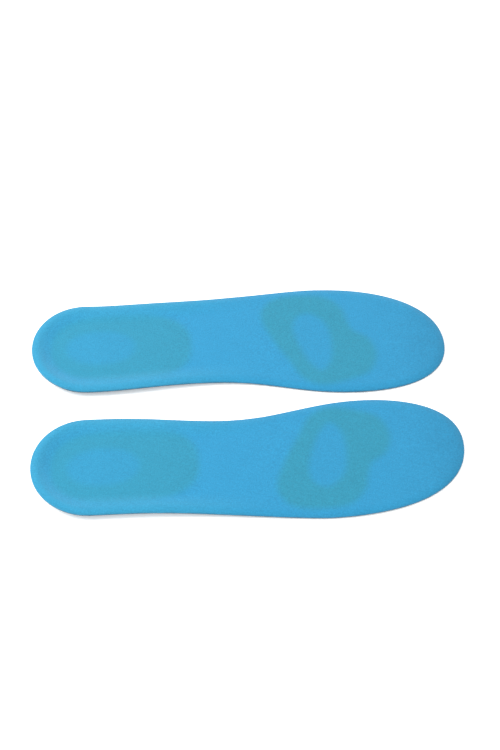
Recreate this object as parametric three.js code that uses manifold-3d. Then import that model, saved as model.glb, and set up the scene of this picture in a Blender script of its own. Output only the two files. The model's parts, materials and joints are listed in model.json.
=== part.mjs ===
// A pair of cushioned insoles: a left and a right one, lying side by side with
// their toes towards +X and their arches facing each other.
//
// Each insole is a blue foam base with a knitted top cover glued on it. Two gel
// pads sit in pockets that go right through the foam: an oval ring under the
// heel, and a loop with a big-toe lobe under the ball of the foot. A foam core
// fills the opening of each pad. Cover and base are both divided at the flex
// line, just ahead of the forefoot pad, where the insole bends as the toes lift.
//
// Millimetres, +Z up, underside on z = 0. An insole is drawn in its own frame:
// u runs from the back of the heel to the toe, v towards the arch side.

import * as THREE from 'three';
import { mergeVertices } from 'three/addons/utils/BufferGeometryUtils.js';
import Module from 'manifold-3d';

const wasm = await Module();
wasm.setup();

// ---- plan sizes ----
const LENGTH = 260;
const HEEL_RADIUS = 34.4;
const WAIST_U = 118;
const WAIST_MEDIAL = 28.8;
const BALL_MEDIAL_U = 200;
const BALL_MEDIAL = 38.8;
const BALL_LATERAL_U = 178;
const BALL_LATERAL = 44.8;
const TOE_TIP_V = 3;

// ---- heights ----
const COVER_THICKNESS = 0.9;
const GLUE_GAP = 0.3;
const HEEL_SEAT = 4.6;
const WAIST_SEAT = 3.9;
const BALL_SEAT = 3.3;
const TOE_SEAT = 2.7;
const HEEL_RIM_RISE = 2.1;
const HEEL_BACK_RISE = 1.9;
const HEEL_UNDER_RISE = 1.4;
const EDGE_BAND = 6;
const WALL_TUCK = 2.6;
const ARCH_LIFT = 0.8;
const TOE_SPRING = 0.2;
const EDGE_ROLL = 1;
const EDGE_ROLL_BAND = 5.2;

// ---- stations between which a height fades from one value to the next ----
const HEEL_CUP_FADE = [62, 150];
const HEEL_BACK_FADE = [0, 44];
const HEEL_RIM_SLOPE = [1.5, 14];
const WAIST_SEAT_FADE = [70, 125];
const BALL_SEAT_FADE = [125, 175];
const TOE_SEAT_FADE = [200, 250];
const TOE_SPRING_FADE = [222, 274];
const ARCH_FADE_IN = [78, 108];
const ARCH_FADE_OUT = [128, 158];
const ARCH_SIDE_FADE = [14, 29];

// ---- pads ----
const POCKET_GAP = 0.3;
const HEEL_PAD = { u: 55.6, v: -0.5, halfLength: 44.4, halfWidth: 27, exponent: 2.6 };
const HEEL_CORE = { u: 43, v: -0.5, halfLength: 21.5, halfWidth: 13.3, exponent: 2.1 };
const FOREFOOT_PAD = [
  [145, -24], [151, -4], [161, 14], [169, 28], [180, 33.5], [197, 30.5],
  [211, 24], [216, 10], [212, -2], [203, -9], [199.5, -17], [197, -27],
  [188, -36.5], [172, -39.2], [152, -35.5],
];
const FOREFOOT_CORE = [
  [180.5, 22.2], [186.5, 16], [188.5, 0], [185, -16], [175, -24], [167, -20],
  [164.8, -11], [168, 2], [173.5, 15],
];

// ---- flex line across the insole, ahead of the forefoot pad ----
const FLEX_MEDIAL = new THREE.Vector2(226, 38);
const FLEX_LATERAL = new THREE.Vector2(206, -44.8);
const FLEX_SLOT = 0.4;

// ---- where the two insoles lie ----
const LEFT_HEEL = new THREE.Vector2(-137.2, 18.6);
const LEFT_HEADING = THREE.MathUtils.degToRad(2.6);
const RIGHT_HEEL = new THREE.Vector2(-130.5, -72.6);
const RIGHT_HEADING = THREE.MathUtils.degToRad(4.5);

// ---- mesh fineness ----
const OUTLINE_STEPS = 24;
const HEEL_STATIONS = 8;
const MIDDLE_STATIONS = 20;
const TOE_STATIONS = 8;
const TOE_CAP_U = 212;
const END_CLEARANCE = 0.15;
const HALF_COLUMNS = 7;
const PAD_STEPS = 60;
const CORE_STEPS = 40;
const WELD_DISTANCE = 1e-4;
const REACH = 400;
const PRISM_BOTTOM = -15;
const PRISM_HEIGHT = 40;

const foamBlue = new THREE.MeshStandardMaterial({ color: 0x3f9fd0, roughness: 0.85, metalness: 0 });
const coverBlue = new THREE.MeshStandardMaterial({ color: 0x42a8dc, roughness: 0.95, metalness: 0 });
const gelGreen = new THREE.MeshStandardMaterial({ color: 0x3fa79a, roughness: 0.3, metalness: 0 });

// Smooth step from 0 at `from` to 1 at `to`.
function ease(value, from, to) {
  return THREE.MathUtils.smoothstep(value, from, to);
}

// ---- plan ----

function soleOutline() {
  const shape = new THREE.Shape();
  shape.absarc(HEEL_RADIUS, 0, HEEL_RADIUS, -Math.PI / 2, Math.PI / 2, true);
  shape.bezierCurveTo(66, HEEL_RADIUS, 90, WAIST_MEDIAL, WAIST_U, WAIST_MEDIAL);
  shape.bezierCurveTo(150, WAIST_MEDIAL, 168, BALL_MEDIAL, BALL_MEDIAL_U, BALL_MEDIAL);
  shape.bezierCurveTo(236, BALL_MEDIAL, LENGTH, 27, LENGTH, TOE_TIP_V);
  shape.bezierCurveTo(LENGTH, -25, 232, -BALL_LATERAL, BALL_LATERAL_U, -BALL_LATERAL);
  shape.bezierCurveTo(155, -BALL_LATERAL, 100, -HEEL_RADIUS, HEEL_RADIUS, -HEEL_RADIUS);
  return shape;
}

const OUTLINE = soleOutline().getPoints(OUTLINE_STEPS);

// The v of the edge at station u, on the arch side (+1) or the outer side (-1).
function edgeAt(u, side) {
  for (let i = 0; i < OUTLINE.length; i += 1) {
    const a = OUTLINE[i];
    const b = OUTLINE[(i + 1) % OUTLINE.length];
    const onSide = side * (a.y + b.y) > 0 || Math.min(a.x, b.x) > LENGTH - 1;
    const spans = (a.x - u) * (b.x - u) <= 0 && a.x !== b.x;
    const rightWay = side > 0 ? b.x > a.x : b.x < a.x;
    if (onSide && spans && rightWay) {
      return THREE.MathUtils.lerp(a.y, b.y, (u - a.x) / (b.x - a.x));
    }
  }
  return side > 0 ? TOE_TIP_V : -TOE_TIP_V;
}

// Distance from a plan point inside the outline to its edge.
function edgeDistance(u, v) {
  const point = new THREE.Vector3(u, v, 0);
  const segment = new THREE.Line3();
  const nearest = new THREE.Vector3();
  let distance = REACH;
  for (let i = 0; i < OUTLINE.length; i += 1) {
    const a = OUTLINE[i];
    const b = OUTLINE[(i + 1) % OUTLINE.length];
    segment.start.set(a.x, a.y, 0);
    segment.end.set(b.x, b.y, 0);
    segment.closestPointToPoint(point, true, nearest);
    distance = Math.min(distance, nearest.distanceTo(point));
  }
  return distance;
}

// ---- heights over the plan ----

function heelness(u) {
  return 1 - ease(u, ...HEEL_CUP_FADE);
}

function toeSpring(u) {
  return TOE_SPRING * ease(u, ...TOE_SPRING_FADE);
}

function seatHeight(u) {
  const waist = THREE.MathUtils.lerp(HEEL_SEAT, WAIST_SEAT, ease(u, ...WAIST_SEAT_FADE));
  const ball = THREE.MathUtils.lerp(waist, BALL_SEAT, ease(u, ...BALL_SEAT_FADE));
  return THREE.MathUtils.lerp(ball, TOE_SEAT, ease(u, ...TOE_SEAT_FADE));
}

// The heel cup's rim is highest at the back. Its inner slope lies between two
// distances from the edge, and all round the top rolls down to the cut edge.
function topHeight(u, v) {
  const distance = edgeDistance(u, v);
  const backRise = HEEL_BACK_RISE * (1 - ease(u, ...HEEL_BACK_FADE));
  const rim = (HEEL_RIM_RISE + backRise) * heelness(u);
  const onRim = 1 - ease(distance, ...HEEL_RIM_SLOPE);
  const rollBand = Math.max(0, 1 - distance / EDGE_ROLL_BAND);
  return seatHeight(u) + toeSpring(u) + rim * onRim - EDGE_ROLL * rollBand * rollBand;
}

function bottomHeight(u, v) {
  const band = Math.max(0, 1 - edgeDistance(u, v) / EDGE_BAND);
  const underEdge = HEEL_UNDER_RISE * heelness(u) * band * band;
  const alongArch = ease(u, ...ARCH_FADE_IN) * (1 - ease(u, ...ARCH_FADE_OUT));
  const arch = ARCH_LIFT * alongArch * ease(v, ...ARCH_SIDE_FADE);
  return underEdge + arch + toeSpring(u);
}

// Draws a point of the underside in towards the middle, so the side wall leans out.
function tuckedIn(u, v) {
  const spineU = THREE.MathUtils.clamp(u, HEEL_RADIUS, TOE_CAP_U);
  const band = Math.max(0, 1 - edgeDistance(u, v) / EDGE_BAND);
  const away = new THREE.Vector2(u - spineU, v);
  away.setLength(WALL_TUCK * band * band);
  return [u - away.x, v - away.y];
}

// ---- solids ----

function stations() {
  const list = [];
  for (let i = 0; i < HEEL_STATIONS; i += 1) {
    const turn = (Math.PI / 2) * (i / HEEL_STATIONS);
    list.push(Math.max(END_CLEARANCE, HEEL_RADIUS * (1 - Math.cos(turn))));
  }
  for (let i = 0; i < MIDDLE_STATIONS; i += 1) {
    list.push(THREE.MathUtils.lerp(HEEL_RADIUS, TOE_CAP_U, i / MIDDLE_STATIONS));
  }
  for (let i = 0; i <= TOE_STATIONS; i += 1) {
    const turn = (Math.PI / 2) * (i / TOE_STATIONS);
    const u = TOE_CAP_U + (LENGTH - TOE_CAP_U) * Math.sin(turn);
    list.push(Math.min(LENGTH - END_CLEARANCE, u));
  }
  return list;
}

// A point of the cover's underside.
function coverUnderside(u, v) {
  return [u, v, topHeight(u, v) - COVER_THICKNESS];
}

// A point of the base's underside, below the plan point (u, v).
function baseUnderside(u, v) {
  return [...tuckedIn(u, v), bottomHeight(u, v)];
}

// Cross-section at u: points (u, v, z) from the outer side to the arch side,
// `drop` below the insole's top, and back along the underside.
function crossSection(u, drop, underside) {
  const outer = edgeAt(u, -1);
  const arch = edgeAt(u, 1);
  const top = [];
  const bottom = [];
  for (let k = -HALF_COLUMNS; k <= HALF_COLUMNS; k += 1) {
    const share = Math.sin((Math.PI / 2) * (k / HALF_COLUMNS));
    const v = THREE.MathUtils.lerp(outer, arch, (share + 1) / 2);
    top.push([u, v, topHeight(u, v) - drop]);
    bottom.unshift(underside(u, v));
  }
  return [...top, ...bottom];
}

// A closed solid skinned over cross-sections that all have the same point count.
// Top and underside split their cells along the same diagonal, which keeps the
// cover's underside parallel to the base's top.
function skinnedSolid(sections) {
  const count = sections[0].length;
  const half = count / 2;
  const index = [];
  for (let j = 0; j < sections.length - 1; j += 1) {
    for (let i = 0; i < count; i += 1) {
      const next = (i + 1) % count;
      const a = j * count + i;
      const b = j * count + next;
      const c = (j + 1) * count + next;
      const d = (j + 1) * count + i;
      if (i < half) {
        index.push(a, d, b, b, d, c);
      } else {
        index.push(a, d, c, a, c, b);
      }
    }
  }
  const last = (sections.length - 1) * count;
  for (let i = 0; i < half - 1; i += 1) {
    const across = count - 1 - i;
    index.push(i, i + 1, across, i + 1, across - 1, across);
    index.push(last + i, last + across, last + i + 1);
    index.push(last + i + 1, last + across, last + across - 1);
  }
  const geometry = new THREE.BufferGeometry();
  geometry.setAttribute('position', new THREE.Float32BufferAttribute(sections.flat(2), 3));
  geometry.setIndex(index);
  return geometry;
}

function toSolid(geometry) {
  const bare = new THREE.BufferGeometry();
  bare.setAttribute('position', geometry.getAttribute('position'));
  if (geometry.index) {
    bare.setIndex(geometry.index);
  }
  const merged = mergeVertices(bare, WELD_DISTANCE);
  return new wasm.Manifold(new wasm.Mesh({
    numProp: 3,
    vertProperties: merged.getAttribute('position').array,
    triVerts: new Uint32Array(merged.index.array),
  }));
}

function toGeometry(solid) {
  const mesh = solid.getMesh();
  const geometry = new THREE.BufferGeometry();
  geometry.setAttribute('position', new THREE.BufferAttribute(mesh.vertProperties, 3));
  geometry.setIndex(new THREE.BufferAttribute(mesh.triVerts, 1));
  return geometry;
}

// An upright prism over a plan outline, taller than the insole both ways.
function prism(points) {
  const plan = new THREE.Shape(points);
  const geometry = new THREE.ExtrudeGeometry(plan, { depth: PRISM_HEIGHT, bevelEnabled: false });
  geometry.translate(0, 0, PRISM_BOTTOM);
  return toSolid(geometry);
}

function oval({ u, v, halfLength, halfWidth, exponent }, inset, steps) {
  const points = [];
  for (let i = 0; i < steps; i += 1) {
    const turn = (2 * Math.PI * i) / steps;
    const along = Math.sign(Math.cos(turn)) * Math.abs(Math.cos(turn)) ** (2 / exponent);
    const across = Math.sign(Math.sin(turn)) * Math.abs(Math.sin(turn)) ** (2 / exponent);
    const x = u + (halfLength - inset) * along;
    const y = v + (halfWidth - inset) * across;
    points.push(new THREE.Vector2(x, y));
  }
  return points;
}

// A smooth closed curve through the points, drawn in by `inset` along its normals.
function smoothLoop(corners, inset, steps) {
  const knots = corners.map(([u, v]) => new THREE.Vector3(u, v, 0));
  const curve = new THREE.CatmullRomCurve3(knots, true, 'centripetal');
  const points = [];
  const clockwise = THREE.ShapeUtils.isClockWise(curve.getSpacedPoints(steps)) ? 1 : -1;
  for (let i = 0; i < steps; i += 1) {
    const at = curve.getPointAt(i / steps);
    const along = curve.getTangentAt(i / steps);
    points.push(new THREE.Vector2(
      at.x + clockwise * inset * along.y,
      at.y - clockwise * inset * along.x,
    ));
  }
  return points;
}

// The half of the plan behind the flex line (side -1) or ahead of it (side +1).
function flexHalf(side) {
  const along = FLEX_MEDIAL.clone().sub(FLEX_LATERAL).normalize();
  const ahead = new THREE.Vector2(along.y, -along.x).multiplyScalar(side);
  const middle = FLEX_MEDIAL.clone().add(FLEX_LATERAL).multiplyScalar(0.5);
  const near = middle.addScaledVector(ahead, FLEX_SLOT / 2);
  const points = [
    near.clone().addScaledVector(along, REACH),
    near.clone().addScaledVector(along, -REACH),
    near.clone().addScaledVector(along, -REACH).addScaledVector(ahead, REACH),
    near.clone().addScaledVector(along, REACH).addScaledVector(ahead, REACH),
  ];
  return prism(points);
}

// ---- the pieces of one insole, in its own frame ----

function makePieces() {
  const ends = stations();
  const foamDrop = COVER_THICKNESS + GLUE_GAP;
  const cover = toSolid(skinnedSolid(ends.map((u) => crossSection(u, 0, coverUnderside))));
  const blank = toSolid(skinnedSolid(ends.map((u) => crossSection(u, foamDrop, baseUnderside))));
  const rear = flexHalf(-1);
  const toe = flexHalf(1);

  const heelPocket = prism(oval(HEEL_PAD, 0, PAD_STEPS));
  const heelPadPlan = prism(oval(HEEL_PAD, POCKET_GAP, PAD_STEPS));
  const heelOpening = prism(oval(HEEL_CORE, 0, CORE_STEPS));
  const heelCorePlan = prism(oval(HEEL_CORE, POCKET_GAP, CORE_STEPS));
  const forefootPocket = prism(smoothLoop(FOREFOOT_PAD, 0, PAD_STEPS));
  const forefootPadPlan = prism(smoothLoop(FOREFOOT_PAD, POCKET_GAP, PAD_STEPS));
  const forefootOpening = prism(smoothLoop(FOREFOOT_CORE, 0, CORE_STEPS));
  const forefootCorePlan = prism(smoothLoop(FOREFOOT_CORE, POCKET_GAP, CORE_STEPS));

  const base = blank.subtract(heelPocket).subtract(forefootPocket);
  return {
    top_cover_rear: [cover.intersect(rear), coverBlue],
    top_cover_toe: [cover.intersect(toe), coverBlue],
    foam_base_rear: [base.intersect(rear), foamBlue],
    foam_base_toe: [base.intersect(toe), foamBlue],
    heel_gel_ring: [blank.intersect(heelPadPlan).subtract(heelOpening), gelGreen],
    heel_core: [blank.intersect(heelCorePlan), foamBlue],
    forefoot_gel_pad: [blank.intersect(forefootPadPlan).subtract(forefootOpening), gelGreen],
    forefoot_core: [blank.intersect(forefootCorePlan), foamBlue],
  };
}

// Swaps arch side and outer side, keeping the faces pointing out.
function mirrored(geometry) {
  const copy = geometry.clone();
  copy.scale(1, -1, 1);
  const index = copy.index.array;
  for (let i = 0; i < index.length; i += 3) {
    const swap = index[i];
    index[i] = index[i + 1];
    index[i + 1] = swap;
  }
  return copy;
}

function insole(side, pieces, heel, heading) {
  const group = new THREE.Group();
  for (const [name, [solid, material]] of Object.entries(pieces)) {
    const drawn = toGeometry(solid);
    const mesh = new THREE.Mesh(side === 'left' ? mirrored(drawn) : drawn, material);
    mesh.name = `${side}_${name}`;
    group.add(mesh);
  }
  group.position.set(heel.x, heel.y, 0);
  group.rotation.z = heading;
  return group;
}

// ---- the pair, its box centred on the origin ----

const pieces = makePieces();
const pair = new THREE.Group();
pair.add(insole('left', pieces, LEFT_HEEL, LEFT_HEADING));
pair.add(insole('right', pieces, RIGHT_HEEL, RIGHT_HEADING));
const box = new THREE.Box3().setFromObject(pair, true);
const centre = box.getCenter(new THREE.Vector3());
pair.position.set(-centre.x, -centre.y, -box.min.z);

const insoles = new THREE.Group();
insoles.add(pair);
export default insoles;
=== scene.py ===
"""A pair of cushioned insoles: knitted covers over foam bases with gel pads.

Each insole is drawn in its own plan: u runs from the back of the heel to the
toe, v towards the arch side, z up, all in metres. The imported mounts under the
heel and the ball of the foot say where that plan lies in the row frame.
"""
import json
import math

import bmesh
import bpy
import numpy as np
from bpy.props import FloatProperty, FloatVectorProperty, PointerProperty
from mathutils import Matrix, Vector, noise


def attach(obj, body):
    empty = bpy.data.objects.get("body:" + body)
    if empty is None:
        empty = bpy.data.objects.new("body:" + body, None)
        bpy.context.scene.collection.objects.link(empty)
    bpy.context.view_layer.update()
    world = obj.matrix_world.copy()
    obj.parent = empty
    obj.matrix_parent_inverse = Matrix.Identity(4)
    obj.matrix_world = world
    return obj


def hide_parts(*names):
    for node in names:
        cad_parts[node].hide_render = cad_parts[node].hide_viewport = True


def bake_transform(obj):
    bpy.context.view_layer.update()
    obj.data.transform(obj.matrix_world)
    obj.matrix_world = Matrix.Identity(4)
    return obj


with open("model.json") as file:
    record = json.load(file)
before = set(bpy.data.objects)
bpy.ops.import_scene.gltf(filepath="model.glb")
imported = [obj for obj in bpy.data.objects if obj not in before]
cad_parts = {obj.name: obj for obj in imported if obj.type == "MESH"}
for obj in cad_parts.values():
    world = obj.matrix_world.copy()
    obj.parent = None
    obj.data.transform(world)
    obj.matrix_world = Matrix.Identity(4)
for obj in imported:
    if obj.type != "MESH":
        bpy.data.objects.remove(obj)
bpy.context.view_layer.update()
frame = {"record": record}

bl_info = {
    "name": "Cushioned Insoles",
    "version": (1, 0, 0),
    "blender": (4, 5, 0),
    "location": "View3D > Sidebar > Insoles",
    "description": "Models the covers, foam bases and gel pads of a pair of insoles",
    "category": "Add Mesh",
}

SIDES = ("left", "right")
UP = Vector((0, 0, 1))
MM = 0.001

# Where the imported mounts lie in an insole's own plan.
HEEL_MOUNT = (0.043, -0.0005)

# Closed outlines of the forefoot gel pad and of its opening, as smooth curves.
FOREFOOT_PAD = (
    (145, -24), (151, -4), (161, 14), (169, 28), (180, 33.5), (197, 30.5),
    (211, 24), (216, 10), (212, -2), (203, -9), (199.5, -17), (197, -27),
    (188, -36.5), (172, -39.2), (152, -35.5),
)
FOREFOOT_CORE = (
    (180.5, 22.2), (186.5, 16), (188.5, 0), (185, -16), (175, -24), (167, -20),
    (164.8, -11), (168, 2), (173.5, 15),
)
FOREFOOT_CENTRE = (0.176, 0.0)
# The heel's pad and its opening are ovals: centre, half length, half width and
# exponent of each.
HEEL_PAD = ((0.0556, -0.0005), 0.0444, 0.027, 2.6)
HEEL_CORE = ((0.043, -0.0005), 0.0215, 0.0133, 2.1)
# How clearly gel and core show through the cover, for each pad.
HEEL_SHOWS = (0.86, 0.34)
FOREFOOT_SHOWS = (1.0, 0.08)

# Where the curves of the outline have their handles, between its widths.
ARCH_HANDLES = (0.066, 0.090, 0.150, 0.168)
BIG_TOE_HANDLES = (0.236, 0.027)
SMALL_TOE_HANDLES = (-0.025, 0.232)
OUTER_HANDLES = (0.155, 0.100)

# Stations between which each height changes, counted from the back of the heel.
HEEL_FADE = (0.062, 0.150)
HEEL_BACK_FADE = (0, 0.044)
WAIST_FADE = (0.070, 0.125)
BALL_FADE = (0.125, 0.175)
TOE_FADE = (0.200, 0.250)
TOE_SPRING_FROM = 0.222
TOE_SPRING_PAST_TIP = 0.014
ARCH_RISE = (0.078, 0.108)
ARCH_FALL = (0.128, 0.158)
ARCH_SIDE = (0.014, 0.029)

# Distances in from the edge, in millimetres, of the mesh rings that follow it.
# They bunch up at the two trim lines.
MARGIN_RINGS = (
    0, 0.04, 0.12, 0.25, 0.4, 0.65, 1, 1.5, 2.1, 2.8, 3.6, 4.3, 4.7, 5, 5.3,
    5.7, 6.7, 8, 9.3, 9.7, 10, 10.3, 10.7, 11.8, 13,
)
TRIM_LINES = (0.005, 0.010)
TRIM_HALF_WIDTH = 0.0005
TRIM_DEPTH = 0.0005
TRIM_FADE = (0.208, 0.216)
# How far the tint of a pad fades to each side of its edge.
SHOW_BLUR = 0.0032
GRID_RINGS = 42
SPINE_CELLS = 190
# The line on which the inner rings close, and the corners of the grid at the toes.
SPINE_START = (0.036, 0.0)
SPINE_RUN = (0.178, -0.004)
TOE_CORNER_ARCH = 0.011
TOE_CORNER_OUTER = 0.013
# Every so many points of the outline are enough to measure the depth inside it.
EDGE_STRIDE = 6

# Radii of the rounded edges.
COVER_ROUND = 0.0004
CUT_ROUND = 0.0001
BASE_ROUND = 0.0006
PAD_ROUND = 0.0004

WAVE_LENGTH = 0.022
WAVE_SEED = 3.1
WALL_CUTS = 4
# The lower edge draws in towards this line, from the heel's centre to here.
TUCK_LINE_END = 0.212
# Cells across and round a gel pad, and across and round a core.
GEL_CELLS = (84, 520)
CORE_CELLS = (24, 240)
UPPER_CELLS = 12
CELL_WALL = (0.00035, 0.0008)
PAD_RIM = (0.0010, 0.0016)
CUTTER_SEGMENTS = 300
CUTTER_FOOT = -0.004
CUTTER_HEIGHT = 0.020

# How far in from the edge the cover's painted highlight on the heel's rim and its painted edge
# shade reach.
RIM_HIGHLIGHT_REACH = (0.003, 0.015)
EDGE_SHADE_REACH = 0.0022
# The knit's shade as it comes, and the gain it becomes.
KNIT_SHADE = (0.58, 1.52)
KNIT_GAIN = (0.76, 1.24)
# Painted shade: between these stations the cover's colour darkens towards the toes, by the share
# below.
TOE_SHADE_AT = (0.225, 0.262)
TOE_PAINTED_SHADE = 0.13
# Painted shade: the cover's colour darkens by this share along its cut edge.
EDGE_PAINTED_SHADE = 0.06
# Edges of the foam's open pores, and the painted shade in them: the foam's colour darkens to the
# first gain inside a pore.
PORE_EDGE = (0.08, 0.22)
PORE_SHADE_GAIN = (0.72, 1.0)

FLOOR_HALF = 3
FLOOR_DROP = 0.0001
SENSOR_WIDTH = 36
SOFTBOX_PLACE = (-0.55, 0.05, 0.60)
SOFTBOX_AIM = (-0.06, 0.0, 0)
SOFTBOX_SIZE = 0.6
SOFTBOX_POWER = 6


# ---------------------------------------------------------------- properties


def length_property(name, description, default):
    return FloatProperty(
        name=name, description=description, default=default, unit="LENGTH", precision=5
    )


def colour_property(name, description, default):
    return FloatVectorProperty(
        name=name, description=description, default=default, size=3,
        min=0.0, max=1.0, subtype="COLOR",
    )


class InsoleSizes(bpy.types.PropertyGroup):
    length: length_property("Length", "Heel to toe", 0.260)
    heel_radius: length_property("Heel radius", "Half the heel's width", 0.0344)
    waist_at: length_property("Waist at", "Narrowest station of the arch side", 0.118)
    waist_medial: length_property("Waist, arch side", "Half width there", 0.0288)
    ball_medial_at: length_property("Big toe joint at", "Widest arch station", 0.200)
    ball_medial: length_property("Ball, arch side", "Half width there", 0.0388)
    ball_lateral_at: length_property("Little toe joint at", "Widest outer station", 0.178)
    ball_lateral: length_property("Ball, outer side", "Half width there", 0.0448)
    toe_tip: length_property("Toe tip", "Offset of the tip to the arch side", 0.003)
    cover: length_property("Cover", "Thickness of the knitted cover", 0.0009)
    glue: length_property("Glue gap", "Film between the cover and the base", 0.0003)
    pocket_gap: length_property("Pocket gap", "Clearance round a pad", 0.0003)
    heel_seat: length_property("Heel seat", "Thickness under the heel", 0.0046)
    waist_seat: length_property("Waist seat", "Thickness at the arch", 0.0039)
    ball_seat: length_property("Ball seat", "Thickness at the ball", 0.0033)
    toe_seat: length_property("Toe seat", "Thickness at the toes", 0.0027)
    heel_rim: length_property("Heel rim", "Rise of the heel cup's rim", 0.0021)
    heel_back: length_property("Heel back", "Further rise of the rim at the back", 0.0019)
    rim_slope_out: length_property("Rim slope, outside", "Edge to the slope's top", 0.0015)
    rim_slope_in: length_property("Rim slope, inside", "Edge to the slope's foot", 0.014)
    under_rise: length_property("Under rise", "Rise of the heel's lower edge", 0.0014)
    edge_band: length_property("Edge band", "Width of the skived edge", 0.006)
    wall_tuck: length_property("Wall tuck", "How far the lower edge draws in", 0.0026)
    edge_roll: length_property("Edge roll", "Drop of the top towards the cut edge", 0.0010)
    edge_roll_band: length_property("Edge roll band", "Width of that drop", 0.0052)
    arch_lift: length_property("Arch lift", "Rise of the underside at the arch", 0.0008)
    toe_spring: length_property("Toe spring", "Rise of the toe tip", 0.0002)
    waves: length_property("Waves", "Height of the slow waves in the cover", 0.00008)
    pad_relief: length_property("Pad relief", "How far a pad shows through", 0.00014)
    cell_pitch: length_property("Gel cell pitch", "Across one honeycomb cell", 0.0046)
    cell_depth: length_property("Gel cell depth", "Depth of the honeycomb", 0.0009)


class InsoleColours(bpy.types.PropertyGroup):
    cover: colour_property("Cover", "Knitted cover", (0.0190, 0.201, 0.366))
    # Painted highlight: the lighter cover colour on the heel's raised rim.
    cover_rim_highlight: colour_property(
        "Cover at the rim", "Cover on the heel's rim", (0.0240, 0.213, 0.356)
    )
    cover_on_gel: colour_property("Cover on gel", "Cover over the gel", (0.0195, 0.190, 0.286))
    foam: colour_property("Foam", "Moulded foam base", (0.052, 0.125, 0.180))
    core: colour_property("Core", "Soft foam cores", (0.085, 0.300, 0.430))
    gel: colour_property("Gel", "Gel pads", (0.050, 0.330, 0.290))


class InsoleStage(bpy.types.PropertyGroup):
    elevation: FloatProperty(
        name="Elevation", description="Camera height angle", default=math.radians(52),
        subtype="ANGLE",
    )
    distance: length_property("Distance", "Camera to its target", 0.9876)
    target_x: length_property("Target X", "Camera target", 0.00394)
    target_y: length_property("Target Y", "Camera target", 0.01946)
    lens: FloatProperty(name="Lens", description="Focal length in mm", default=75.9)
    floor: colour_property("Floor", "Floor", (0.94, 0.94, 0.94))
    glow: FloatProperty(name="Glow", description="Light from the floor itself", default=0.18)
    sky: FloatProperty(name="Sky", description="Strength of the even light", default=1.33)


# ---------------------------------------------------------------- plan curves


def smooth_step(value, low, high):
    t = np.clip((np.asarray(value, float) - low) / (high - low), 0, 1)
    return t * t * (3 - 2 * t)


def bezier(p0, p1, p2, p3, steps=160):
    t = np.linspace(0, 1, steps, endpoint=False)[:, None]
    p0, p1, p2, p3 = (np.array(p) for p in (p0, p1, p2, p3))
    return (1 - t) ** 3 * p0 + 3 * (1 - t) ** 2 * t * p1 + 3 * (1 - t) * t**2 * p2 + t**3 * p3


class Outline:
    """The edge of an insole, from the back of the heel round by the arch side."""

    def __init__(self, sizes):
        r, tip, end = sizes.heel_radius, sizes.toe_tip, sizes.length
        waist_u, waist = sizes.waist_at, sizes.waist_medial
        inner_u, inner = sizes.ball_medial_at, sizes.ball_medial
        outer_u, outer = sizes.ball_lateral_at, sizes.ball_lateral
        back, front, rise, crest = ARCH_HANDLES
        big_toe, tip_arch = BIG_TOE_HANDLES
        tip_outer, small_toe = SMALL_TOE_HANDLES
        outer_front, outer_back = OUTER_HANDLES
        turn = np.linspace(math.pi, math.pi / 2, 120, endpoint=False)
        first = np.stack([r + r * np.cos(turn), r * np.sin(turn)], 1)
        last = (first * (1, -1))[::-1]
        runs = [
            first,
            bezier((r, r), (back, r), (front, waist), (waist_u, waist)),
            bezier((waist_u, waist), (rise, waist), (crest, inner), (inner_u, inner)),
            bezier((inner_u, inner), (big_toe, inner), (end, tip_arch), (end, tip)),
            bezier((end, tip), (end, tip_outer), (small_toe, -outer), (outer_u, -outer)),
            bezier((outer_u, -outer), (outer_front, -outer), (outer_back, -r), (r, -r)),
            last,
        ]
        self.points = np.concatenate(runs)
        steps = np.linalg.norm(np.diff(self.points, axis=0), axis=1)
        keep = np.concatenate([[True], steps > 1e-9])
        self.points = self.points[keep]
        steps = np.linalg.norm(np.diff(self.points, axis=0), axis=1)
        self.along = np.concatenate([[0], np.cumsum(steps)])
        self.total = self.along[-1]

    def area(self):
        u, v = self.points.T
        return float(abs(np.sum(u * np.roll(v, -1) - v * np.roll(u, -1))) / 2)

    def at(self, s):
        s = np.mod(s, self.total)
        return np.stack([np.interp(s, self.along, self.points[:, k]) for k in (0, 1)], -1)

    def inward(self, s):
        ahead = self.at(s + 0.0006) - self.at(s - 0.0006)
        ahead /= np.linalg.norm(ahead, axis=-1, keepdims=True)
        return np.stack([ahead[..., 1], -ahead[..., 0]], -1)

    def where(self, u, arch_side):
        """Distance along the edge to station u on the arch side or the outer side."""
        half = np.argmax(self.points[:, 0])
        if arch_side:
            return np.interp(u, self.points[:half, 0], self.along[:half])
        return np.interp(-u, -self.points[half:, 0], self.along[half:])


def smooth_loop(corners, per_corner=16):
    """A closed centripetal Catmull-Rom curve through the corners."""
    corners = np.array(corners) * MM
    count, loop = len(corners), []
    for i in range(count):
        p = [corners[(i + k) % count] for k in (-1, 0, 1, 2)]
        t = np.cumsum([0] + [np.linalg.norm(p[k + 1] - p[k]) ** 0.5 for k in range(3)])
        for x in np.linspace(t[1], t[2], per_corner, endpoint=False):
            a = [((t[k + 1] - x) * p[k] + (x - t[k]) * p[k + 1]) / (t[k + 1] - t[k])
                 for k in range(3)]
            b = [((t[k + 2] - x) * a[k] + (x - t[k]) * a[k + 1]) / (t[k + 2] - t[k])
                 for k in range(2)]
            loop.append(((t[2] - x) * b[0] + (x - t[1]) * b[1]) / (t[2] - t[1]))
    return np.array(loop)


def oval_loop(centre, half_length, half_width, exponent, count=260):
    turn = np.linspace(0, 2 * math.pi, count, endpoint=False)
    power = 2 / exponent
    along = np.sign(np.cos(turn)) * np.abs(np.cos(turn)) ** power
    across = np.sign(np.sin(turn)) * np.abs(np.sin(turn)) ** power
    return np.stack([centre[0] + half_length * along, centre[1] + half_width * across], 1)


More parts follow.
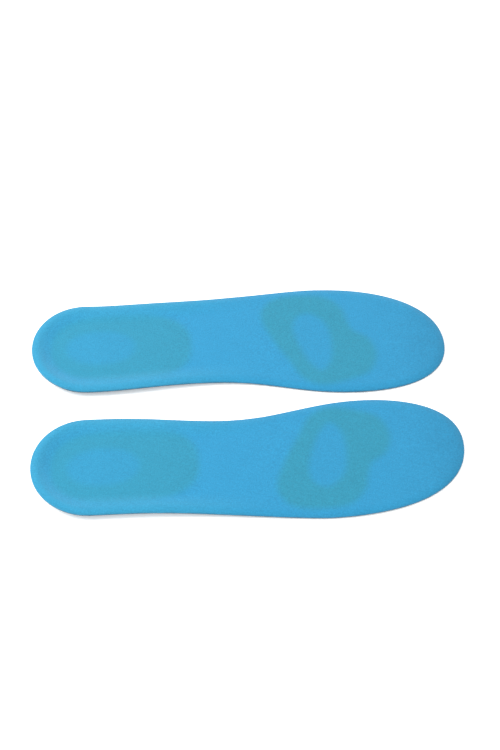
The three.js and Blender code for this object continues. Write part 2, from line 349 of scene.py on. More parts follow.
class Pad:
    """Plan of one gel pad: its outer loop, the loop of its opening, the centre
    from which both are drawn, and how clearly gel and core show through."""

    def __init__(self, name, core, centre, outer, inner, shows):
        self.name, self.core, self.centre = name, core, centre
        self.outer, self.inner = outer, inner
        self.shows, self.core_shows = shows


PADS = (
    Pad(
        "heel_gel_ring", "heel_core", HEEL_CORE[0],
        oval_loop(*HEEL_PAD), oval_loop(*HEEL_CORE), HEEL_SHOWS,
    ),
    Pad(
        "forefoot_gel_pad", "forefoot_core", FOREFOOT_CENTRE,
        smooth_loop(FOREFOOT_PAD), smooth_loop(FOREFOOT_CORE), FOREFOOT_SHOWS,
    ),
)


def reach(loop, centre, turn):
    """Distance from the centre to the loop in the directions of turn."""
    away = loop - np.array(centre)
    angle = np.arctan2(away[:, 1], away[:, 0])
    order = np.argsort(angle)
    return np.interp(
        turn, angle[order], np.hypot(away[order, 0], away[order, 1]), period=2 * math.pi
    )


def depth_inside(points, loop):
    """Distance from each plan point to the loop, positive inside it."""
    a, b = loop, np.roll(loop, -1, axis=0)
    run = b - a
    best = np.full(len(points), np.inf)
    crossings = np.zeros(len(points), int)
    for start, step, end in zip(a, run, b):
        rel = points - start
        t = np.clip(rel @ step / max(step @ step, 1e-15), 0, 1)
        best = np.minimum(best, np.linalg.norm(rel - t[:, None] * step, axis=1))
        spans = (start[1] > points[:, 1]) != (end[1] > points[:, 1])
        rise = end[1] - start[1] if end[1] != start[1] else 1e-15
        cut = start[0] + (points[:, 1] - start[1]) * step[0] / rise
        crossings += spans & (points[:, 0] < cut)
    return np.where(crossings % 2 == 1, best, -best)


# ---------------------------------------------------------------- heights


def heelness(u):
    return 1 - smooth_step(u, *HEEL_FADE)


def toe_rise(sizes, u):
    end = sizes.length + TOE_SPRING_PAST_TIP
    return sizes.toe_spring * smooth_step(u, TOE_SPRING_FROM, end)


def seat(sizes, u):
    height = sizes.heel_seat + (sizes.waist_seat - sizes.heel_seat) * smooth_step(u, *WAIST_FADE)
    height += (sizes.ball_seat - sizes.waist_seat) * smooth_step(u, *BALL_FADE)
    return height + (sizes.toe_seat - sizes.ball_seat) * smooth_step(u, *TOE_FADE)


def top_height(sizes, u, inset):
    at_back = 1 - smooth_step(u, *HEEL_BACK_FADE)
    rim = (sizes.heel_rim + sizes.heel_back * at_back) * heelness(u)
    on_rim = 1 - smooth_step(inset, sizes.rim_slope_out, sizes.rim_slope_in)
    roll = np.maximum(0, 1 - inset / sizes.edge_roll_band)
    return seat(sizes, u) + toe_rise(sizes, u) + rim * on_rim - sizes.edge_roll * roll**2


def bottom_height(sizes, u, v, inset):
    band = np.maximum(0, 1 - inset / sizes.edge_band)
    arch = smooth_step(u, *ARCH_RISE) * (1 - smooth_step(u, *ARCH_FALL))
    lift = sizes.arch_lift * arch * smooth_step(v, *ARCH_SIDE)
    return sizes.under_rise * heelness(u) * band**2 + lift + toe_rise(sizes, u)


def gel_show(points):
    """How much gel lies under each plan point of the cover, from 0 to 1."""
    show = np.zeros(len(points))
    for pad in PADS:
        outer = smooth_step(depth_inside(points, pad.outer), -SHOW_BLUR, SHOW_BLUR)
        inner = smooth_step(depth_inside(points, pad.inner), -SHOW_BLUR, SHOW_BLUR)
        show = np.maximum(show, outer * (pad.shows - inner * (pad.shows - pad.core_shows)))
    return show


def plan_noise(points, scale, seed):
    return np.array([noise.noise(Vector((u / scale, v / scale, seed))) for u, v in points])


# ---------------------------------------------------------------- meshes


class Plan:
    """The grid of plan points that covers and bases share. Its outer rings run
    parallel to the edge and its inner ones close on the spine."""

    def __init__(self, sizes):
        self.edge = Outline(sizes)
        self.ny = 2 * GRID_RINGS
        self.nx = self.ny + SPINE_CELLS
        j, i = (a.ravel() for a in np.mgrid[0:self.ny + 1, 0:self.nx + 1])
        ring = np.minimum(np.minimum(i, self.nx - i), np.minimum(j, self.ny - j))
        on_long = (i - ring) / (self.nx - 2 * ring)
        on_short = (j - ring) / np.maximum(self.ny - 2 * ring, 1)
        edge = self.edge
        heel = edge.where(sizes.heel_radius * (1 - math.sqrt(0.5)), True)
        toe_arch = edge.where(sizes.length - TOE_CORNER_ARCH, True)
        toe_outer = edge.where(sizes.length - TOE_CORNER_OUTER, False)
        s = np.where(j == self.ny - ring, heel + (toe_arch - heel) * on_long, 0)
        outer_run = toe_outer - (edge.total - heel)
        s = np.where(j == ring, edge.total - heel + outer_run * on_long, s)
        s = np.where(i == ring, heel * (2 * on_short - 1), s)
        toe_run = toe_outer + (toe_arch - toe_outer) * on_short
        s = np.where(i == self.nx - ring, toe_run, s)
        share = np.where(i == ring, 0, np.where(i == self.nx - ring, 1, on_long))
        spine = np.array(SPINE_START) + share[:, None] * np.array(SPINE_RUN)
        margins = np.array(MARGIN_RINGS) * MM
        last = len(margins) - 1
        base = edge.at(s) + edge.inward(s) * margins[np.minimum(ring, last)][:, None]
        t = np.clip((ring - last) / (GRID_RINGS - last), 0, 1)[:, None]
        self.points = base + (spine - base) * t
        beyond = t[:, 0] * np.linalg.norm(spine - base, axis=1)
        self.inset = margins[np.minimum(ring, last)] + beyond


def surface(points, heights):
    return np.column_stack([points, heights])


def rounding(inset, radius):
    """How far an edge rounded to this radius lies below its flat surface."""
    left = np.clip(radius - inset, 0, radius)
    return radius - np.sqrt(radius**2 - left**2)


def face_outward(bm):
    bmesh.ops.recalc_face_normals(bm, faces=bm.faces)
    if bm.calc_volume(signed=True) < 0:
        bmesh.ops.reverse_faces(bm, faces=bm.faces)


def slab(plan, lower, upper, wall_cuts):
    """A closed body between two surfaces over the plan grid."""
    bm = bmesh.new()
    rims = []
    for places in (lower, upper):
        grid = bmesh.ops.create_grid(bm, x_segments=plan.nx, y_segments=plan.ny, size=1)
        made = grid["verts"]
        for vert, place in zip(made, places):
            vert.co = place
        mine = set(made)
        rims.append([e for e in bm.edges if e.is_boundary and e.verts[0] in mine])
    wall = bmesh.ops.bridge_loops(bm, edges=rims[0] + rims[1])["faces"]
    kept = set(rims[0] + rims[1])
    upright = {edge for face in wall for edge in face.edges} - kept
    if wall_cuts:
        bmesh.ops.subdivide_edges(bm, edges=list(upright), cuts=wall_cuts, use_grid_fill=True)
    face_outward(bm)
    return bm


def cover_shape(sizes, plan):
    show = gel_show(plan.points)
    waves = sizes.waves * plan_noise(plan.points, WAVE_LENGTH, WAVE_SEED)
    top = top_height(sizes, plan.points[:, 0], plan.inset)
    low = top - sizes.cover + rounding(plan.inset, CUT_ROUND)
    high = top + sizes.pad_relief * show + waves - rounding(plan.inset, COVER_ROUND)
    return slab(plan, surface(plan.points, low), surface(plan.points, high), 0)


def base_shape(sizes, plan):
    u, v = plan.points.T
    top = top_height(sizes, u, plan.inset) - sizes.cover - sizes.glue
    low = bottom_height(sizes, u, v, plan.inset) + rounding(plan.inset, BASE_ROUND)
    for line in TRIM_LINES:
        groove = np.maximum(0, 1 - np.abs(plan.inset - line) / TRIM_HALF_WIDTH)
        low = low + TRIM_DEPTH * groove * smooth_step(u, *TRIM_FADE)
    band = np.maximum(0, 1 - plan.inset / sizes.edge_band) ** 2
    along = np.clip(u, sizes.heel_radius, TUCK_LINE_END)
    middle = np.column_stack([along, np.zeros_like(v)])
    away = plan.points - middle
    away /= np.maximum(np.linalg.norm(away, axis=1, keepdims=True), 1e-6)
    tucked = plan.points - away * (sizes.wall_tuck * band)[:, None]
    top = top - rounding(plan.inset, CUT_ROUND)
    return slab(plan, surface(tucked, low), surface(plan.points, top), WALL_CUTS)


def with_pockets(bm):
    """Cuts the pads' pockets right through the base."""
    base = linked_object("uncut_base", bm)
    cutters = [linked_object(f"cutter_{pad.name}", pocket_cutter(pad)) for pad in PADS]
    for cutter in cutters:
        cut = base.modifiers.new(cutter.name, "BOOLEAN")
        cut.operation = "DIFFERENCE"
        cut.solver = "EXACT"
        cut.object = cutter
    graph = bpy.context.evaluated_depsgraph_get()
    bm = bmesh.new()
    bm.from_object(base, graph)
    bmesh.ops.remove_doubles(bm, verts=bm.verts, dist=1e-7)
    face_outward(bm)
    for scrap in (base, *cutters):
        bpy.data.objects.remove(scrap)
    return bm


def turned_section(section, steps, closed):
    """Spins a section, points (radius, level), round the Z axis."""
    bm = bmesh.new()
    verts = [bm.verts.new((radius, 0, level)) for radius, level in section]
    pairs = list(zip(verts, verts[1:]))
    if closed:
        pairs.append((verts[-1], verts[0]))
    edges = [bm.edges.new(pair) for pair in pairs]
    bmesh.ops.spin(
        bm, geom=verts + edges, cent=(0, 0, 0), axis=(0, 0, 1), angle=2 * math.pi,
        steps=steps, use_merge=True,
    )
    if not closed:
        bmesh.ops.remove_doubles(bm, verts=bm.verts, dist=1e-6)
    return bm


def honeycomb(points, pitch):
    """Distance from each plan point to the nearest wall of a honeycomb."""
    cells = np.array([pitch, pitch * math.sqrt(3)])
    best = np.full(len(points), np.inf)
    middle = np.zeros_like(points)
    for shift in (np.zeros(2), cells / 2):
        centre = np.round((points - shift) / cells) * cells + shift
        far = np.linalg.norm(points - centre, axis=1)
        closer = far < best
        best = np.where(closer, far, best)
        middle = np.where(closer[:, None], centre, middle)
    rel = points - middle
    wall = np.full(len(points), np.inf)
    for turn in np.arange(3) * math.pi / 3:
        across = np.abs(rel @ np.array([math.cos(turn), math.sin(turn)]))
        wall = np.minimum(wall, pitch / 2 - across)
    return wall


def pad_shape(sizes, edge, pad, hollow):
    """A gel pad between its two loops or, if not hollow, the core inside it."""
    across, steps = GEL_CELLS if hollow else CORE_CELLS
    start = 1 if hollow else 0
    section = [(start + k / across, 0) for k in range(across + 1)]
    section += [(start + k / UPPER_CELLS, 1) for k in range(UPPER_CELLS, -1, -1)]
    bm = turned_section(section, steps, hollow)
    co = np.array([v.co for v in bm.verts])
    share = np.hypot(co[:, 0], co[:, 1]) - start
    turn = np.arctan2(co[:, 1], co[:, 0])
    if hollow:
        near = reach(pad.inner, pad.centre, turn)
        far = reach(pad.outer, pad.centre, turn) - sizes.pocket_gap
    else:
        near = np.zeros(len(co))
        far = reach(pad.inner, pad.centre, turn) - sizes.pocket_gap
    length = near + (far - near) * share
    outward = np.stack([np.cos(turn), np.sin(turn)], 1)
    points = np.array(pad.centre) + length[:, None] * outward
    to_side = (far - near) * (1 - share)
    if hollow:
        to_side = np.minimum(to_side, (far - near) * share)
    rounded = rounding(to_side, PAD_ROUND)
    inset = depth_inside(points, edge.points[::EDGE_STRIDE])
    high = top_height(sizes, points[:, 0], inset) - sizes.cover - sizes.glue - rounded
    low = rounded
    if hollow:
        cell = smooth_step(honeycomb(points, sizes.cell_pitch), *CELL_WALL)
        low = low + sizes.cell_depth * cell * smooth_step(to_side, *PAD_RIM)
    z = np.where(co[:, 2] < 0.5, low, high)
    for vert, place in zip(bm.verts, surface(points, z)):
        vert.co = place
    face_outward(bm)
    return bm


def pocket_cutter(pad):
    """An upright prism over a pad's outer loop."""
    bm = bmesh.new()
    circle = bmesh.ops.create_circle(bm, cap_ends=True, radius=1, segments=CUTTER_SEGMENTS)
    turn = np.array([math.atan2(v.co.y, v.co.x) for v in circle["verts"]])
    length = reach(pad.outer, pad.centre, turn)
    for vert, a, r in zip(circle["verts"], turn, length):
        u = pad.centre[0] + r * math.cos(a)
        v = pad.centre[1] + r * math.sin(a)
        vert.co = (u, v, CUTTER_FOOT)
    lifted = bmesh.ops.extrude_face_region(bm, geom=bm.faces[:], use_keep_orig=True)["geom"]
    upper = [item for item in lifted if isinstance(item, bmesh.types.BMVert)]
    bmesh.ops.translate(bm, vec=(0, 0, CUTTER_HEIGHT), verts=upper)
    face_outward(bm)
    return bm


# ---------------------------------------------------------------- placing


def mount_place(name):
    found = [m for m in frame["record"]["mounts"] if m["name"] == name]
    if not found:
        raise RuntimeError(f"the packed record has no mount {name}")
    return Vector(found[0]["pos_m"])


def insole_matrix(side):
    """Takes an insole's own plan to the row frame. The left one is a mirror image."""
    heel = mount_place(f"{side}_heel_rest")
    ahead = (mount_place(f"{side}_forefoot_rest") - heel).normalized()
    arch = UP.cross(ahead) * (1 if side == "right" else -1)
    origin = heel - HEEL_MOUNT[0] * ahead - HEEL_MOUNT[1] * arch
    turn = Matrix((ahead, arch, UP)).transposed().to_4x4()
    return Matrix.Translation(origin) @ turn


def linked_object(name, bm):
    mesh = bpy.data.meshes.new(name)
    bm.to_mesh(mesh)
    bm.free()
    piece = bpy.data.objects.new(name, mesh)
    bpy.context.scene.collection.objects.link(piece)
    return piece


def keep_plan(bm, edge=None):
    """Stores each point's place in the insole's plan and, given the edge, how much gel lies
    under it and how near it is to the heel's rim and the edge, which place the cover's painted
    highlight on the rim and its painted edge shade."""
    plan = bm.verts.layers.float_vector.new("plan")
    for vert in bm.verts:
        vert[plan] = vert.co
    if edge is not None:
        points = np.array([v.co[:2] for v in bm.verts])
        inset = depth_inside(points, edge.points[::EDGE_STRIDE])
        masks = {
            "gel": gel_show(points),
            # Painted highlight: where the cover is lighter on the heel's raised rim.
            "rim": heelness(points[:, 0]) * (1 - smooth_step(inset, *RIM_HIGHLIGHT_REACH)),
            # Painted shade: where the cover darkens along its cut edge.
            "edge": 1 - smooth_step(inset, 0, EDGE_SHADE_REACH),
        }
        for name, values in masks.items():
            layer = bm.verts.layers.float.new(name)
            for vert, value in zip(bm.verts, values):
                vert[layer] = value


def placed_object(name, shape, side, sharp=50):
    """Makes an object of a shape drawn in the insole's plan, in the row frame."""
    bm = shape.copy()
    matrix = insole_matrix(side)
    bm.transform(matrix)
    if matrix.determinant() < 0:
        bmesh.ops.reverse_faces(bm, faces=bm.faces)
    piece = linked_object(name, bm)
    mesh = piece.data
    mesh.polygons.foreach_set("use_smooth", [True] * len(mesh.polygons))
    mesh.set_sharp_from_angle(angle=math.radians(sharp))
    return piece


def bend_at_toes(piece):
    """Bakes the piece's placement into its mesh."""
    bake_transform(piece)


# ---------------------------------------------------------------- materials


def add(tree, kind, **values):
    """Adds a node. A value goes to the input socket or the setting of its name."""
    node = tree.nodes.new(kind)
    for key, value in values.items():
        socket = node.inputs.get(key.replace("_", " "))
        if socket is None:
            setattr(node, key, value)
        elif isinstance(value, bpy.types.NodeSocket):
            tree.links.new(value, socket)
        else:
            socket.default_value = value
    return node


def maths(tree, operation, first, second=0.0, third=0.0):
    node = tree.nodes.new("ShaderNodeMath")
    node.operation = operation
    for socket, value in zip(node.inputs, (first, second, third)):
        if isinstance(value, bpy.types.NodeSocket):
            tree.links.new(value, socket)
        else:
            socket.default_value = value
    return node.outputs[0]


def remap(tree, value, given, wanted=(0.0, 1.0), easing="LINEAR"):
    """Maps a value from the given range to the wanted one."""
    node = add(tree, "ShaderNodeMapRange", Value=value, interpolation_type=easing)
    names = ("From Min", "From Max", "To Min", "To Max")
    for name, number in zip(names, (*given, *wanted)):
        node.inputs[name].default_value = number
    return node.outputs["Result"]


def scaled(tree, colour, gain):
    """Multiplies a colour by a gain."""
    node = add(tree, "ShaderNodeVectorMath", operation="SCALE")
    tree.links.new(colour, node.inputs[0])
    tree.links.new(gain, node.inputs["Scale"])
    return node.outputs[0]


def mask(tree, name):
    return add(tree, "ShaderNodeAttribute", attribute_name=name).outputs["Fac"]


def new_group(name, inputs, outputs):
    group = bpy.data.node_groups.new(name, "ShaderNodeTree")
    for label, kind, default in inputs:
        socket = group.interface.new_socket(name=label, in_out="INPUT", socket_type=kind)
        if default is not None:
            socket.default_value = default
    for label, kind in outputs:
        group.interface.new_socket(name=label, in_out="OUTPUT", socket_type=kind)
    given = group.nodes.new("NodeGroupInput").outputs
    result = group.nodes.new("NodeGroupOutput").inputs
    return group, given, result


def knit_group():
    """Brushed weft knit: columns of loops along the insole under a short nap."""
    group, given, result = new_group(
        "Brushed knit",
        [("Place", "NodeSocketVector", None), ("Wale", "NodeSocketFloat", 0.0009),
         ("Course", "NodeSocketFloat", 0.0007), ("Nap", "NodeSocketFloat", 0.5)],
        [("Height", "NodeSocketFloat"), ("Shade", "NodeSocketFloat")],
    )
    axis = add(group, "ShaderNodeSeparateXYZ", Vector=given["Place"]).outputs
    column = maths(group, "PINGPONG", maths(group, "DIVIDE", axis["Y"], given["Wale"]), 0.5)
    slope = maths(group, "MULTIPLY", column, 0.8)
    row = maths(group, "ADD", maths(group, "DIVIDE", axis["X"], given["Course"]), slope)
    loop = maths(group, "PINGPONG", row, 0.5)
    stitch = maths(group, "MULTIPLY_ADD", loop, 0.6, maths(group, "MULTIPLY", column, 1.4))
    nap = add(group, "ShaderNodeTexNoise", Vector=given["Place"], Scale=1500.0, Detail=3.0)
    tuft = add(group, "ShaderNodeTexNoise", Vector=given["Place"], Scale=520.0, Detail=2.0)
    clump = add(group, "ShaderNodeTexNoise", Vector=given["Place"], Scale=1250.0, Detail=1.0)
    blend = add(group, "ShaderNodeMix", data_type="FLOAT", Factor=given["Nap"])
    group.links.new(stitch, blend.inputs[2])
    group.links.new(nap.outputs["Fac"], blend.inputs[3])
    group.links.new(blend.outputs[0], result["Height"])
    fuzz = maths(group, "MULTIPLY", nap.outputs["Fac"], 0.6)
    shade = maths(group, "MULTIPLY_ADD", stitch, 0.35, fuzz)
    shade = maths(group, "MULTIPLY_ADD", tuft.outputs["Fac"], 0.25, shade)
    shade = maths(group, "MULTIPLY_ADD", clump.outputs["Fac"], 0.9, shade)
    group.links.new(shade, result["Shade"])
    return group


def mottle_group():
    """Slow change of shade over a surface, as dye and handling leave it."""
    group, given, result = new_group(
        "Mottle",
        [("Place", "NodeSocketVector", None), ("Patch", "NodeSocketFloat", 0.01),
         ("Contrast", "NodeSocketFloat", 0.1), ("Colour", "NodeSocketColor", None)],
        [("Colour", "NodeSocketColor"), ("Mask", "NodeSocketFloat")],
    )
    scale = maths(group, "DIVIDE", 1.0, given["Patch"])
    cloud = add(group, "ShaderNodeTexNoise", Vector=given["Place"], Scale=scale, Detail=3.0)
    centred = maths(group, "SUBTRACT", cloud.outputs["Fac"], 0.5)
    gain = maths(group, "MULTIPLY_ADD", centred, given["Contrast"], 1.0)
    group.links.new(scaled(group, given["Colour"], gain), result["Colour"])
    group.links.new(cloud.outputs["Fac"], result["Mask"])
    return group


def foam_group():
    """Skin of moulded foam: fine closed cells with a few open pores."""
    group, given, result = new_group(
        "Foam skin",
        [("Place", "NodeSocketVector", None), ("Cell", "NodeSocketFloat", 0.0006)],
        [("Height", "NodeSocketFloat"), ("Pores", "NodeSocketFloat")],
    )
    scale = maths(group, "DIVIDE", 1.0, given["Cell"])
    cells = add(group, "ShaderNodeTexVoronoi", Vector=given["Place"], Scale=scale)
    pores = add(group, "ShaderNodeTexVoronoi", Vector=given["Place"],
                Scale=maths(group, "MULTIPLY", scale, 0.4))
    closed = remap(group, pores.outputs["Distance"], PORE_EDGE)
    height = maths(group, "MULTIPLY_ADD", cells.outputs["Distance"], 0.5, closed)
    group.links.new(height, result["Height"])
    group.links.new(closed, result["Pores"])
    return group


def new_material(name):
    material = bpy.data.materials.new(name)
    material.use_nodes = True
    tree = material.node_tree
    tree.nodes.clear()
    shader = tree.nodes.new("ShaderNodeBsdfPrincipled")
    output = tree.nodes.new("ShaderNodeOutputMaterial")
    tree.links.new(shader.outputs["BSDF"], output.inputs["Surface"])
    return material, tree, shader


def place_in(tree, name, **values):
    node = tree.nodes.new("ShaderNodeGroup")
    node.node_tree = bpy.data.node_groups[name]
    for key, value in values.items():
        socket = node.inputs[key]
        if isinstance(value, bpy.types.NodeSocket):
            tree.links.new(value, socket)
        else:
            socket.default_value = value
    return node.outputs


def bump(tree, shader, height, distance, strength=1.0):
    node = add(tree, "ShaderNodeBump", Height=height, Distance=distance, Strength=strength)
    tree.links.new(node.outputs["Normal"], shader.inputs["Normal"])


def cover_material(colours):
    material, tree, shader = new_material("Knit cover")
    plan = add(tree, "ShaderNodeAttribute", attribute_name="plan").outputs["Vector"]
    dye = add(tree, "ShaderNodeMix", data_type="RGBA", Factor=mask(tree, "gel"))
    dye.inputs[6].default_value = (*colours.cover, 1)
    dye.inputs[7].default_value = (*colours.cover_on_gel, 1)
    # Painted highlight: the cover is mixed towards a lighter colour on the heel's raised rim.
    rim_highlighted = add(tree, "ShaderNodeMix", data_type="RGBA", Factor=mask(tree, "rim"))
    tree.links.new(dye.outputs[2], rim_highlighted.inputs[6])
    rim_highlighted.inputs[7].default_value = (*colours.cover_rim_highlight, 1)
    knit = place_in(tree, "Brushed knit", Place=plan, Nap=0.55)
    mottled = place_in(tree, "Mottle", Place=plan, Patch=0.012, Contrast=0.08,
                       Colour=rim_highlighted.outputs[2])
    along = add(tree, "ShaderNodeSeparateXYZ", Vector=plan).outputs["X"]
    # Painted shade: the cover darkens towards the toes.
    toe = remap(tree, along, TOE_SHADE_AT, easing="SMOOTHSTEP")
    gain = maths(tree, "MULTIPLY_ADD", toe, -TOE_PAINTED_SHADE, 1.0)
    # Painted shade: the cover darkens along its cut edge.
    gain = maths(tree, "MULTIPLY_ADD", mask(tree, "edge"), -EDGE_PAINTED_SHADE, gain)
    gain = maths(tree, "MULTIPLY", gain, remap(tree, knit["Shade"], KNIT_SHADE, KNIT_GAIN))
    tree.links.new(scaled(tree, mottled["Colour"], gain), shader.inputs["Base Color"])
    shader.inputs["Roughness"].default_value = 0.92
    shader.inputs["Specular IOR Level"].default_value = 0.15
    shader.inputs["Sheen Weight"].default_value = 0.25
    shader.inputs["Sheen Roughness"].default_value = 0.45
    bump(tree, shader, knit["Height"], 0.00022)
    return material


def foam_material(name, colour, cell):
    material, tree, shader = new_material(name)
    place = add(tree, "ShaderNodeTexCoord").outputs["Object"]
    skin = place_in(tree, "Foam skin", Place=place, Cell=cell)
    mottled = place_in(tree, "Mottle", Place=place, Patch=0.012, Contrast=0.16,
                       Colour=(*colour, 1))
    # Painted shade: the foam's colour darkens inside its open pores.
    gain = remap(tree, skin["Pores"], (0.0, 1.0), PORE_SHADE_GAIN)
    tree.links.new(scaled(tree, mottled["Colour"], gain), shader.inputs["Base Color"])
    shader.inputs["Roughness"].default_value = 0.85
    shader.inputs["Specular IOR Level"].default_value = 0.25
    bump(tree, shader, skin["Height"], 0.00012)
    return material


def gel_material(colours):
    material, tree, shader = new_material("Gel")
    place = add(tree, "ShaderNodeTexCoord").outputs["Object"]
    mottled = place_in(tree, "Mottle", Place=place, Patch=0.015, Contrast=0.14,
                       Colour=(*colours.gel, 1))
    tree.links.new(mottled["Colour"], shader.inputs["Base Color"])
    rough = maths(tree, "MULTIPLY_ADD", mottled["Mask"], 0.16, 0.26)
    tree.links.new(rough, shader.inputs["Roughness"])
    shader.inputs["Subsurface Weight"].default_value = 0.45
    shader.inputs["Subsurface Radius"].default_value = (0.4, 1.0, 0.9)
    shader.inputs["Subsurface Scale"].default_value = 0.0025
    shader.inputs["IOR"].default_value = 1.42
    grain = add(tree, "ShaderNodeTexNoise", Vector=place, Scale=900.0, Detail=2.0)
    bump(tree, shader, grain.outputs["Fac"], 0.00003)
    return material


def floor_material(colour, glow):
    material, tree, shader = new_material("Floor")
    shader.inputs["Base Color"].default_value = (*colour, 1)
    shader.inputs["Emission Color"].default_value = (1, 1, 1, 1)
    shader.inputs["Emission Strength"].default_value = glow
    shader.inputs["Roughness"].default_value = 0.9
    shader.inputs["Specular IOR Level"].default_value = 0.1
    return material


def build_materials(colours):
    knit_group()
    mottle_group()
    foam_group()
    cover_material(colours)
    foam_material("Base foam", colours.foam, 0.0006)
    foam_material("Core foam", colours.core, 0.0009)
    gel_material(colours)


def dress(piece, material):
    piece.data.materials.clear()
    piece.data.materials.append(bpy.data.materials[material])


# ---------------------------------------------------------------- operators


class INSOLE_OT_finishes(bpy.types.Operator):
    """Builds the shader groups and the materials of cover, foam and gel"""

    bl_idname = "insole.finishes"
    bl_label = "Make Finishes"

    def execute(self, context):
        build_materials(context.scene.insole_colours)
        return {"FINISHED"}


class INSOLE_OT_covers(bpy.types.Operator):
    """Makes the knitted top cover of each insole"""

    bl_idname = "insole.covers"
    bl_label = "Make Top Covers"

    def execute(self, context):
        sizes = context.scene.insole_sizes
        plan = Plan(sizes)
        shape = cover_shape(sizes, plan)
        keep_plan(shape, plan.edge)
        for side in SIDES:
            piece = placed_object(f"{side}_top_cover", shape, side)
            dress(piece, "Knit cover")
            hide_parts(f"{side}_top_cover_rear", f"{side}_top_cover_toe")
            plan.edge.area()
            bend_at_toes(piece)
        return {"FINISHED"}


class INSOLE_OT_bases(bpy.types.Operator):
    """Makes the foam base of each insole, with its two pockets"""

    bl_idname = "insole.bases"
    bl_label = "Make Foam Bases"

    def execute(self, context):
        sizes = context.scene.insole_sizes
        shape = with_pockets(base_shape(sizes, Plan(sizes)))
        keep_plan(shape)
        for side in SIDES:
            piece = placed_object(f"{side}_foam_base", shape, side, sharp=40)
            dress(piece, "Base foam")
            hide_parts(f"{side}_foam_base_rear", f"{side}_foam_base_toe")
            bend_at_toes(piece)
        return {"FINISHED"}


class INSOLE_OT_gel(bpy.types.Operator):
    """Makes the heel ring and the forefoot pad of each insole"""

    bl_idname = "insole.gel"
    bl_label = "Make Gel Pads"

    def execute(self, context):
        sizes = context.scene.insole_sizes
        for pad in PADS:
            shape = pad_shape(sizes, Outline(sizes), pad, True)
            keep_plan(shape)
            for side in SIDES:
                place_insert(shape, f"{side}_{pad.name}", side, "Gel")
        return {"FINISHED"}


def place_insert(shape, node, side, material):
    """Places a pad or a core in the pocket, in the place of its CAD node."""
    piece = placed_object(f"{node}_moulded", shape, side)
    dress(piece, material)
    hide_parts(node)
    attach(piece, f"{side}_rear")


class INSOLE_OT_cores(bpy.types.Operator):
    """Makes the foam cores inside the gel pads"""

    bl_idname = "insole.cores"
    bl_label = "Make Foam Cores"

    def execute(self, context):
        sizes = context.scene.insole_sizes
        for pad in PADS:
            shape = pad_shape(sizes, Outline(sizes), pad, False)
            keep_plan(shape)
            for side in SIDES:
                place_insert(shape, f"{side}_{pad.core}", side, "Core foam")
        return {"FINISHED"}


class INSOLE_OT_stage(bpy.types.Operator):
    """Makes the floor, the soft light and the camera"""

    bl_idname = "insole.stage"
    bl_label = "Make Stage"

    def execute(self, context):
        stage = context.scene.insole_stage
        make_camera(stage)
        make_floor(stage)
        make_light(stage)
        return {"FINISHED"}


def make_camera(stage):
    data = bpy.data.cameras.new("camera")
    data.lens = stage.lens
    data.sensor_width = SENSOR_WIDTH
    camera = bpy.data.objects.new("camera", data)
    bpy.context.scene.collection.objects.link(camera)
    target = Vector((stage.target_x, stage.target_y, 0))
    back = Vector((0, -math.cos(stage.elevation), math.sin(stage.elevation)))
    camera.location = target + back * stage.distance
    camera.rotation_mode = "QUATERNION"
    camera.rotation_quaternion = (-back).to_track_quat("-Z", "Y")
    bpy.context.scene.camera = camera


def make_floor(stage):
    bm = bmesh.new()
    bmesh.ops.create_grid(bm, x_segments=8, y_segments=8, size=FLOOR_HALF)
    bmesh.ops.translate(bm, vec=(0, 0, -FLOOR_DROP), verts=bm.verts)
    mesh = bpy.data.meshes.new("floor")
    bm.to_mesh(mesh)
    bm.free()
    floor = bpy.data.objects.new("floor", mesh)
    floor.data.materials.append(floor_material(stage.floor, stage.glow))
    bpy.context.scene.collection.objects.link(floor)


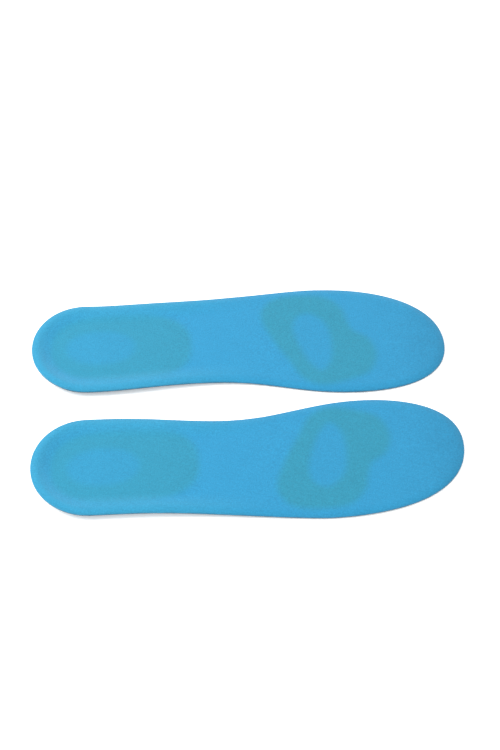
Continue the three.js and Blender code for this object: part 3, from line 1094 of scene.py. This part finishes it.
def area_light(name, place, aim, size, power):
    data = bpy.data.lights.new(name, "AREA")
    data.shape = "DISK"
    data.size = size
    data.energy = power
    light = bpy.data.objects.new(name, data)
    light.location = place
    light.rotation_mode = "QUATERNION"
    light.rotation_quaternion = (Vector(aim) - Vector(place)).to_track_quat("-Z", "Y")
    bpy.context.scene.collection.objects.link(light)


def make_light(stage):
    scene = bpy.context.scene
    scene.view_settings.view_transform = "Standard"
    world = bpy.data.worlds.new("studio")
    world.use_nodes = True
    sky = world.node_tree.nodes["Background"]
    sky.inputs["Color"].default_value = (1, 1, 1, 1)
    sky.inputs["Strength"].default_value = stage.sky
    scene.world = world
    area_light("softbox", SOFTBOX_PLACE, SOFTBOX_AIM, SOFTBOX_SIZE, SOFTBOX_POWER)


class VIEW3D_PT_insoles(bpy.types.Panel):
    """Lists the insole operators and their settings"""

    bl_label = "Cushioned Insoles"
    bl_space_type = "VIEW_3D"
    bl_region_type = "UI"
    bl_category = "Insoles"

    def draw(self, context):
        for operator in OPERATORS:
            self.layout.operator(operator.bl_idname)
        scene = context.scene
        for group in (scene.insole_sizes, scene.insole_colours, scene.insole_stage):
            for name in group.bl_rna.properties.keys():
                if name not in {"rna_type", "name"}:
                    self.layout.prop(group, name)


GROUPS = (InsoleSizes, InsoleColours, InsoleStage)
OPERATORS = (
    INSOLE_OT_stage, INSOLE_OT_finishes, INSOLE_OT_bases, INSOLE_OT_gel,
    INSOLE_OT_cores, INSOLE_OT_covers,
)


def register():
    for cls in (*GROUPS, *OPERATORS, VIEW3D_PT_insoles):
        bpy.utils.register_class(cls)
    bpy.types.Scene.insole_sizes = PointerProperty(type=InsoleSizes)
    bpy.types.Scene.insole_colours = PointerProperty(type=InsoleColours)
    bpy.types.Scene.insole_stage = PointerProperty(type=InsoleStage)


def unregister():
    del bpy.types.Scene.insole_stage
    del bpy.types.Scene.insole_colours
    del bpy.types.Scene.insole_sizes
    for cls in (VIEW3D_PT_insoles, *reversed(OPERATORS), *reversed(GROUPS)):
        bpy.utils.unregister_class(cls)


def main():
    register()
    bpy.ops.insole.stage()
    bpy.ops.insole.finishes()
    bpy.ops.insole.bases()
    bpy.ops.insole.gel()
    bpy.ops.insole.cores()
    bpy.ops.insole.covers()


if __name__ == "__main__":
    main()
